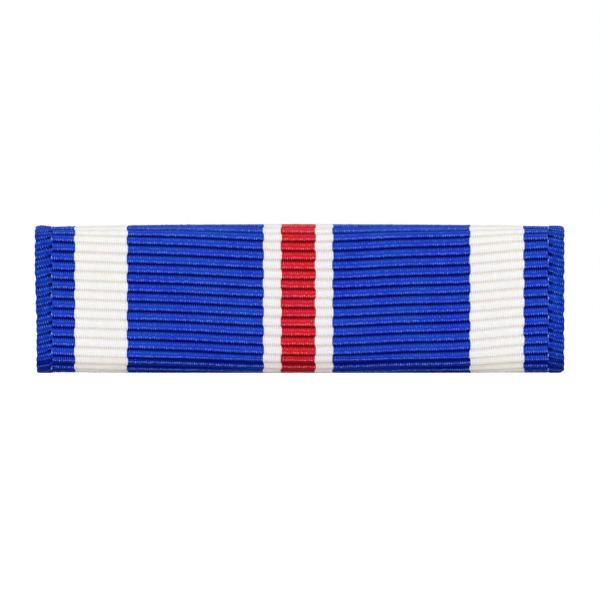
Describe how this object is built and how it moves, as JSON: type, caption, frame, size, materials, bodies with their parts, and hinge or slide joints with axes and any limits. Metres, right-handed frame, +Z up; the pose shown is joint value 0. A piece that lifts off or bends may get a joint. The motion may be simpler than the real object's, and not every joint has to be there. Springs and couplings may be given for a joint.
{
  "type": "service ribbon bar",
  "caption": "Woven striped service ribbon wrapped on a channel plate that slides on a mounting bar with pin posts and butterfly clutches.",
  "frame": {"origin": "centre of the ribbon's rear face, midway between the two posts, where the bar meets the garment", "axes": "+X along the ribbon's length, +Z up as worn, +Y from the ribbon into the garment, so the striped front faces -Y"},
  "size_m": [0.035, 0.0095, 0.01],
  "materials": {
    "ribbon_weave": "satin rep weave in royal blue with white and red stripes",
    "tape_film": "matte adhesive film",
    "plate_steel": "nickel-plated sheet",
    "bar_brass": "rolled brass strip",
    "post_metal": "turned brass",
    "clutch_brass": "bright pressed brass",
    "wing_brass": "bright pressed brass",
    "spring_wire": "hard-drawn spring wire"
  },
  "bodies": {
    "bar": {"mounting_bar": "bar_brass", "pin_post_left": "post_metal", "pin_post_right": "post_metal"},
    "ribbon_unit": {"ribbon": "ribbon_weave", "adhesive_tape": "tape_film", "ribbon_plate": "plate_steel"},
    "left_clutch": {"clutch_cap_left": "clutch_brass", "clutch_spring_left": "spring_wire"},
    "right_clutch": {"clutch_cap_right": "clutch_brass", "clutch_spring_right": "spring_wire"},
    "left_inner_wing": {"clutch_inner_wing_left": "wing_brass"},
    "left_outer_wing": {"clutch_outer_wing_left": "wing_brass"},
    "right_inner_wing": {"clutch_inner_wing_right": "wing_brass"},
    "right_outer_wing": {"clutch_outer_wing_right": "wing_brass"}
  },
  "joints": [
    {"name": "ribbon_slide", "type": "slide", "parent": "bar", "child": "ribbon_unit", "axis": [1, 0, 0], "range_m": [-0.036, 0.036]},
    {"name": "left_clutch_slide", "type": "slide", "parent": "bar", "child": "left_clutch", "axis": [0, 1, 0], "range_m": [-0.0009, 0.0095]},
    {"name": "right_clutch_slide", "type": "slide", "parent": "bar", "child": "right_clutch", "axis": [0, 1, 0], "range_m": [-0.0009, 0.0095]},
    {"name": "left_inner_pinch", "type": "slide", "parent": "left_clutch", "child": "left_inner_wing", "axis": [-1, 0, 0], "range_m": [0, 0.00045], "deforming": ["clutch_spring_left"]},
    {"name": "left_outer_pinch", "type": "slide", "parent": "left_clutch", "child": "left_outer_wing", "axis": [1, 0, 0], "range_m": [0, 0.00045]},
    {"name": "right_inner_pinch", "type": "slide", "parent": "right_clutch", "child": "right_inner_wing", "axis": [1, 0, 0], "range_m": [0, 0.00045], "deforming": ["clutch_spring_right"]},
    {"name": "right_outer_pinch", "type": "slide", "parent": "right_clutch", "child": "right_outer_wing", "axis": [-1, 0, 0], "range_m": [0, 0.00045]}
  ],
  "couplings": [
    {"joint": "left_outer_pinch", "follows": "left_inner_pinch", "ratio": 1},
    {"joint": "right_outer_pinch", "follows": "right_inner_pinch", "ratio": 1}
  ]
}
